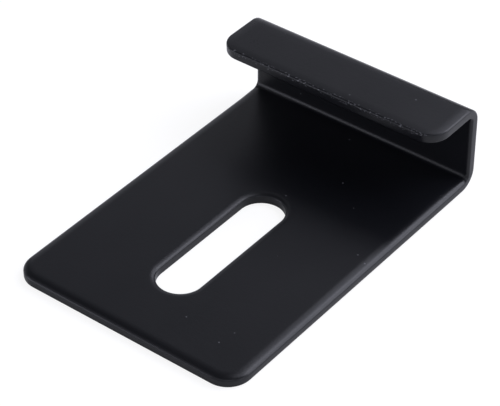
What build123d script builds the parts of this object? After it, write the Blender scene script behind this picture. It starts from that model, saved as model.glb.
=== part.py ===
"""Headphone hook: one strip of sheet steel folded twice.

A flat mounting plate with a screw slot turns up into a web, and the web turns
forward over the plate into a short lip. Millimetres. The origin is the centre
of the slot on the mounting face, +Y runs along the slot toward the web, and
+Z points from the mounting face toward the lip.
"""
from build123d import *
import os

os.makedirs("parts", exist_ok=True)

# Driving sizes
width = 50.0            # across the strip
length = 73.4           # front edge of the plate to the back of the web
height = 18.4           # mounting face to the top of the lip
lip_depth = 14.4        # back of the web to the front edge of the lip
sheet = 2.1             # steel with its coating
inner_bend = 1.0        # radius of both folds on the inside skin
outer_bend = 3.7        # and on the outside skin, where the steel thins
plate_corner = 4.8      # corner radius of the plate, in plan
lip_corner = 4.3        # corner radius of the lip, in plan
slot_width = 9.0
slot_length = 32.4
slot_front_gap = 12.4   # front edge of the plate to the near end of the slot
die_roll = 0.8          # edge rounding on the side the punch entered
burr_break = 0.3        # edge rounding on the opposite, burred side

# The origin is the slot's centre, so the other stations follow from it
front = -(slot_front_gap + slot_length / 2)
back = front + length
lip_front = back - lip_depth


def rim(side):
    """Edges where one side of the sheet meets its cut walls."""
    edges = side.edges()
    return ShapeList(e for e in edges if sum(e.is_same(other) for other in edges) == 1)


with BuildPart() as folded_hook:
    # Plate, web and lip in side view, with tighter bends inside than outside
    with BuildSketch(Plane.YZ):
        with BuildLine():
            Polyline(
                (front, 0),
                (back, 0),
                (back, height),
                (lip_front, height),
                (lip_front, height - sheet),
                (back - sheet, height - sheet),
                (back - sheet, sheet),
                (front, sheet),
                close=True,
            )
        make_face()
        fillet(vertices().group_by(Axis.X)[-2], inner_bend)
        fillet(vertices().group_by(Axis.X)[-1], outer_bend)
    extrude(amount=width / 2, both=True)

    # Rounded free corners of the lip and of the plate
    fillet(folded_hook.edges().filter_by(Axis.Z).group_by(Axis.Z)[-1], lip_corner)
    fillet(folded_hook.edges().filter_by(Axis.Z).group_by(Axis.Z)[0], plate_corner)

    # Screw slot through the plate
    with BuildSketch(Plane.XY):
        SlotOverall(slot_length, slot_width, rotation=90)
    extrude(amount=sheet, mode=Mode.SUBTRACT)

    # The blank was punched from the side that ends up inside the hook, which
    # leaves a soft rolled edge there and a crisper one on the outside
    level = folded_hook.faces().filter_by(Axis.Z).sort_by(Axis.Z)
    upright = folded_hook.faces().filter_by(Axis.Y).sort_by(SortBy.AREA)[-2:].sort_by(Axis.Y)
    bends = folded_hook.faces().filter_by(GeomType.CYLINDER).sort_by(SortBy.AREA)[-4:]
    inside_rim = rim(level[1:3] + upright[:1] + bends[:2])
    outside_rim = rim(level[:1] + level[3:] + upright[1:] + bends[2:])
    fillet(outside_rim, burr_break)
    fillet(inside_rim, die_roll)

folded_hook.part.label = "folded_hook"
export_step(folded_hook.part, "parts/folded_hook.step")
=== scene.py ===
import math

import bmesh
import bpy
import numpy as np
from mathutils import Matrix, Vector


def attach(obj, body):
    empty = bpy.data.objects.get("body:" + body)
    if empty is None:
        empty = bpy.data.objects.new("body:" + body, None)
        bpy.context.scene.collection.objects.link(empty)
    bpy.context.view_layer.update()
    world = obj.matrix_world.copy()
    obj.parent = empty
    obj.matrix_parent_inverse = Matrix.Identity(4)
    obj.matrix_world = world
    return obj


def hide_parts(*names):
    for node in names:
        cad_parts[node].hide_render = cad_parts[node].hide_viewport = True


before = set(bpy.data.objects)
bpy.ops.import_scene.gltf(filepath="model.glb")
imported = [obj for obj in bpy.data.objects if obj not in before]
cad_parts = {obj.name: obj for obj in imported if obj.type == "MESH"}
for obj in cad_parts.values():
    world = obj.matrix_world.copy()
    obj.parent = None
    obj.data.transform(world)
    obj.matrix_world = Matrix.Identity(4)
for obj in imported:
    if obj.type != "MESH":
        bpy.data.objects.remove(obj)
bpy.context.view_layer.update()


# Folded hook
# One strip of sheet steel: a plate with a screw slot, a web and a lip. The
# blank was punched flat, so every cut edge is rolled over softly on the side
# that ends up inside the hook and is crisper on the outside, and it was then
# folded twice on a press brake. Millimetres until the last step.
length, height, sheet = 73.4, 18.4, 2.1
lip_edge = 59.0
outer_bend, inner_bend = 3.7, 1.0
plate_corner, lip_corner = 4.8, 4.3
slot_radius, slot_middle = 4.5, 28.6
half_width = 25.0

# Stretches of the flat blank: plate, bend, web, bend and lip, one after another
plate_run, arc, web_run, lip_run = 70, 4.32, 11.0, 10.6
web_start = plate_run + arc
web_end = plate_run + web_run + arc
total = plate_run + arc + web_run + arc + lip_run


def side_view(along, base, radius):
    """One skin of the sheet seen from the side, base above the mounting face.

    It runs back along the plate, turns up round a bend, climbs the web, turns
    round the second bend and runs forward to the lip's edge. With a and b the
    angles turned: y = straight + radius sin a cos b, and
    z = base + radius (1 - cos a) + climb + radius sin b.
    """
    flat = length - base - radius
    climb = height - 2 * base - 2 * radius
    a = np.clip((along - plate_run) / arc, 0, 1) * math.pi / 2
    b = np.clip((along - plate_run - web_run - arc) / arc, 0, 1) * math.pi / 2
    stations = [0, 60, plate_run, total - lip_run, total]
    straight = np.interp(along, stations, [0, 60, flat, flat, lip_edge])
    up = np.interp(along, [web_start, web_end], [0, climb])
    y = straight + radius * np.sin(a) * np.cos(b)
    return y - slot_middle, base + radius * (1 - np.cos(a)) + up + radius * np.sin(b)


def fold(across, along, level):
    """Carries the flat blank to the folded hook.

    The steel thins in the bends, so their two radii differ by more than the
    sheet. A point at a level part of the way through the sheet lies that part
    of the way between the two skins.
    """
    part = level / sheet
    y0, z0 = side_view(along, 0.0, outer_bend)
    y1, z1 = side_view(along, sheet, inner_bend)
    y, z = y0 + (y1 - y0) * part, z0 + (z1 - z0) * part
    return np.stack(np.broadcast_arrays(across, y, z), axis=-1) / 1000


def plan(inset):
    """Rows along the blank and both ends of each row, inset from the cut edges.

    Rows crowd as cosines where the plate's corners, the slot's ends and the
    lip's corners are round. There each end of a row lies on the circle:
    half = middle + sqrt(radius^2 - (along - centre)^2).
    """
    plate_r, lip_r, slot_r = plate_corner - inset, lip_corner - inset, slot_radius + inset
    near, far = 16.9, 40.3
    turn = np.linspace(0, math.pi / 2, 17)
    rows = np.concatenate(
        [
            plate_corner - plate_r * np.cos(turn),
            np.linspace(plate_corner, near - slot_r, 5),
            near - slot_r * np.cos(turn),
            np.linspace(near, far, 13),
            far + slot_r * np.sin(turn),
            np.linspace(far + slot_r, plate_run, 13),
            plate_run + arc * np.linspace(0, 1, 17),
            np.linspace(web_start, web_end, 7),
            web_end + arc * np.linspace(0, 1, 17),
            np.linspace(web_end + arc, total - lip_corner, 5),
            total - lip_corner + lip_r * np.sin(turn),
        ]
    )
    rows = np.unique(np.round(rows, 6))
    front = np.clip(plate_corner - rows, 0, plate_r)
    tip = np.clip(rows - (total - lip_corner), 0, lip_r)
    near_gap = np.clip(near - rows, 0, None)
    far_gap = np.clip(rows - far, 0, None)
    low = np.sqrt(np.clip(slot_r**2 - (near_gap + far_gap) ** 2, 0, None))
    low[low < 0.01] = 0
    corner = np.where(rows < 50, plate_r, lip_r)
    side = np.sqrt(np.clip(corner**2 - (front + tip) ** 2, 0, None))
    high = half_width - inset - corner + side
    out = np.stack([side / corner, (tip - front) / corner])
    hole = -np.stack([low, far_gap - near_gap]) / slot_r
    return rows, low, high, out, hole


def lay(points, grid):
    """Adds a grid of points, and its mirror image, to the hook's surface."""
    verts, quads = points
    for side in (1, -1):
        start = sum(len(v) for v in verts)
        verts.append((grid * (side, 1, 1)).reshape(-1, 3))
        index = start + np.arange(grid.shape[0] * grid.shape[1]).reshape(grid.shape[:2])
        corners = [index[:-1, :-1], index[1:, :-1], index[1:, 1:], index[:-1, 1:]]
        quads.append(np.stack(corners, axis=-1).reshape(-1, 4)[:, ::side])


def cut_edge(inset, width, roll, burr):
    """The sheet's edge in section, from the inside skin round to the outside.

    The punched side is a quarter ellipse, depth = roll (1 - cos t) over
    width (1 - sin t). The wall is straight, and the other side is a quarter
    circle of radius burr. Gives how far out from the inset and how high.
    """
    t = np.linspace(0, math.pi / 2, 15)
    width, roll, burr = (v[:, None] for v in np.broadcast_arrays(width, roll, burr))
    one = np.ones_like(width)
    deep = [inset * one, width * (1 - np.sin(t)), 0 * one, burr * (1 - np.cos(t[1::2])), inset * one]
    tall = [sheet * one, sheet - roll * (1 - np.cos(t)), burr * one, burr * (1 - np.sin(t[1::2])), 0 * one]
    return inset - np.concatenate(deep, axis=1), np.concatenate(tall, axis=1)


surface = ([], [])
inset = 2.2
rows, low, high, out, hole = plan(inset)
q = np.linspace(0, 1, 25)
across = low[:, None] + q * (high - low)[:, None]
for level in (0.0, sheet):
    lay(surface, fold(across, rows[:, None], level))

# Outer edge, from the middle of the plate's front round to the middle of the lip's
x = np.concatenate([q[:-1] * high[0], high, q[-2::-1] * high[-1]])
s = np.concatenate([np.full(24, rows[0]), rows, np.full(24, rows[-1])])
nx = np.concatenate([np.zeros(24), out[0], np.zeros(24)])
ns = np.concatenate([-np.ones(24), out[1], np.ones(24)])
raised = np.clip((s - 66) / 8, 0, 1)
reach, tall = cut_edge(inset, 2.0 - 1.1 * raised, 0.85 - 0.35 * raised, 0.3 + 0.1 * raised)
lay(surface, fold(x[:, None] + nx[:, None] * reach, s[:, None] + ns[:, None] * reach, tall))

# Slot's edge, along one side of the slot and mirrored to the other
ring = np.abs(rows - slot_middle) < 11.7 + slot_radius + inset + 1e-5
x, s, nx, ns = low[ring], rows[ring], hole[0][ring], hole[1][ring]
reach, tall = cut_edge(inset, 1.3 + 0 * s, 0.6, 0.25)
lay(surface, fold(x[:, None] + nx[:, None] * reach, s[:, None] + ns[:, None] * reach, tall))

mesh = bpy.data.meshes.new("folded_hook_skin")
mesh.from_pydata(np.concatenate(surface[0]).tolist(), [], np.concatenate(surface[1]).tolist())
work = bmesh.new()
work.from_mesh(mesh)
bmesh.ops.remove_doubles(work, verts=work.verts, dist=2e-7)
bmesh.ops.dissolve_degenerate(work, edges=work.edges, dist=1e-8)
bmesh.ops.recalc_face_normals(work, faces=work.faces)
for face in work.faces:
    face.smooth = True
work.to_mesh(mesh)
work.free()
hook = bpy.data.objects.new("folded_hook_skin", mesh)
bpy.context.scene.collection.objects.link(hook)
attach(hook, "root")
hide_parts("folded_hook")


# Powder coat
# A thin satin black polyester powder baked onto the steel. It is nearly even,
# with a fine orange peel and a slightly grainy gloss.
class Term:
    """A shader value. Arithmetic on it adds the matching nodes to its tree."""

    def __init__(self, tree, socket):
        self.tree, self.socket = tree, socket

    def node(self, kind, output=0, settings=(), **inputs):
        made = self.tree.nodes.new(kind)
        for name, value in dict(settings).items():
            setattr(made, name, value)
        for name, value in inputs.items():
            target = made.inputs[int(name[1:])] if name[1:].isdigit() else made.inputs[name]
            if isinstance(value, Term):
                self.tree.links.new(value.socket, target)
            else:
                target.default_value = value
        return Term(self.tree, made.outputs[output])

    def math(self, operation, other=0.0):
        return self.node("ShaderNodeMath", 0, {"operation": operation}, i0=self, i1=other)

    def __add__(self, other):
        return self.math("ADD", other)

    def __mul__(self, other):
        return self.math("MULTIPLY", other)

    __radd__ = __add__
    __rmul__ = __mul__


coat = bpy.data.materials.new("powder_coat_black")
coat.use_nodes = True
tree = coat.node_tree
skin = tree.nodes["Principled BSDF"]
skin.inputs["Specular IOR Level"].default_value = 0.31
place = Term(tree, tree.nodes.new("ShaderNodeTexCoord").outputs["Object"])
split = tree.nodes.new("ShaderNodeSeparateXYZ")
tree.links.new(place.socket, split.inputs[0])
y, z = Term(tree, split.outputs["Y"]), Term(tree, split.outputs["Z"])

# Orange peel and grain in the surface
peel = place.node("ShaderNodeTexNoise", "Fac", Vector=place, Scale=1100.0, Detail=2.0)
grain = place.node("ShaderNodeTexNoise", "Fac", Vector=place, Scale=3200.0, Detail=1.0)
cloud = place.node("ShaderNodeTexNoise", "Fac", Vector=place, Scale=90.0, Detail=3.0)
relief = peel * 0.6 + grain * 0.4
bump = place.node("ShaderNodeBump", "Normal", Strength=0.08, Distance=0.0002, Height=relief)
tree.links.new(bump.socket, skin.inputs["Normal"])
rough = cloud * 0.10 + grain * 0.06 + 0.23
tree.links.new(rough.socket, skin.inputs["Roughness"])

# Nicks along the lip's front edge, and a few specks of dust
edge = y.math("LESS_THAN", 0.0310) * z.math("GREATER_THAN", 0.0177)
nick = place.node("ShaderNodeTexNoise", "Fac", Vector=place, Scale=2400.0, Detail=2.0)
nick = nick.math("GREATER_THAN", 0.61) * edge
dust = place.node("ShaderNodeTexVoronoi", "Distance", Vector=place, Scale=210.0)
dust = dust.math("LESS_THAN", 0.035)
pale = nick * 0.35 + dust * 0.35
tint = place.node(
    "ShaderNodeMix", 2, {"data_type": "RGBA"},
    i0=pale, i6=(0.0045, 0.0048, 0.0064, 1), i7=(0.24, 0.24, 0.26, 1),
)
tree.links.new(tint.socket, skin.inputs["Base Color"])
hook.data.materials.append(coat)


# Floor
# A plain white floor under the hook. It glows a little for the camera, so that
# it reads as white while it still takes a faint shadow.
floor_mesh = bpy.data.meshes.new("floor")
floor_mesh.from_pydata([(-1.5, -1.5, 0), (1.5, -1.5, 0), (1.5, 1.5, 0), (-1.5, 1.5, 0)], [], [(0, 1, 2, 3)])
floor = bpy.data.objects.new("floor", floor_mesh)
floor.location.z = -0.00005
bpy.context.scene.collection.objects.link(floor)
white = bpy.data.materials.new("white_floor")
white.use_nodes = True
tree = white.node_tree
paint = tree.nodes["Principled BSDF"]
paint.inputs["Base Color"].default_value = (0.85, 0.85, 0.85, 1)
paint.inputs["Roughness"].default_value = 0.8
paint.inputs["Specular IOR Level"].default_value = 0.2
glow = tree.nodes.new("ShaderNodeEmission")
glow.inputs["Strength"].default_value = 1.13
path = tree.nodes.new("ShaderNodeLightPath")
seen = Term(tree, path.outputs["Is Camera Ray"]) * 0.75 + Term(tree, path.outputs["Is Glossy Ray"]) * 0.15
blend = tree.nodes.new("ShaderNodeMixShader")
tree.links.new(seen.socket, blend.inputs[0])
tree.links.new(paint.outputs[0], blend.inputs[1])
tree.links.new(glow.outputs[0], blend.inputs[2])
tree.links.new(blend.outputs[0], tree.nodes["Material Output"].inputs["Surface"])
floor.data.materials.append(white)


# World
# White for the camera, and a dim room for everything else.
world = bpy.data.worlds.new("studio")
world.use_nodes = True
tree = world.node_tree
tree.nodes["Background"].inputs["Color"].default_value = (1, 1, 1, 1)
path = tree.nodes.new("ShaderNodeLightPath")
seen = Term(tree, path.outputs["Is Camera Ray"])
level = seen * 0.9 + 0.1
tree.links.new(level.socket, tree.nodes["Background"].inputs["Strength"])
bpy.context.scene.world = world


# Lamps
# Soft boxes round the hook, each aimed at it. Their powers were solved for by a
# separate program, and the two behind on the right were then changed by hand.
def soft_box(name, azimuth, elevation, power):
    lamp = bpy.data.lights.new(name, "AREA")
    lamp.shape = "SQUARE"
    lamp.size = 0.42
    lamp.energy = power
    lamp.color = (0.94, 0.955, 1.1)
    box = bpy.data.objects.new(name, lamp)
    turn, lift = math.radians(azimuth), math.radians(elevation)
    away = Vector((math.sin(turn) * math.cos(lift), -math.cos(turn) * math.cos(lift), math.sin(lift)))
    box.location = Vector((0, 0.008, 0.008)) + away * 0.7
    box.rotation_euler = (-away).to_track_quat("-Z", "Y").to_euler()
    bpy.context.scene.collection.objects.link(box)


soft_box("front_low", 0, 12, 0.17)
soft_box("front", 0, 38, 0.37)
soft_box("right_front_low", 45, 12, 0.22)
soft_box("right_front", 45, 38, 0.56)
soft_box("right_low", 90, 12, 0.98)
soft_box("right_back_low", 135, 12, 1.50)
soft_box("right_back", 142, 38, 1.90)
soft_box("back_high", 144, 62, 1.06)
soft_box("back", 180, 38, 1.37)
soft_box("left_back_low", 225, 12, 0.28)
soft_box("left_back", 225, 38, 0.12)
soft_box("left_low", 270, 12, 0.28)
soft_box("left_front_low", 315, 12, 1.34)
soft_box("left_front", 315, 38, 0.24)


# Camera
# A long lens, in front of the hook, to its right and well above it.
lens = bpy.data.cameras.new("camera")
lens.lens, lens.sensor_width = 157.52, 36.0
lens.clip_start, lens.clip_end = 0.01, 20.0
camera = bpy.data.objects.new("camera", lens)
camera.location = (0.19054, -0.23738, 0.25438)
camera.rotation_euler = (math.radians(90 - 38.632), 0, math.radians(37.787))
bpy.context.scene.collection.objects.link(camera)
bpy.context.scene.camera = camera

bpy.context.scene.view_settings.view_transform = "Standard"
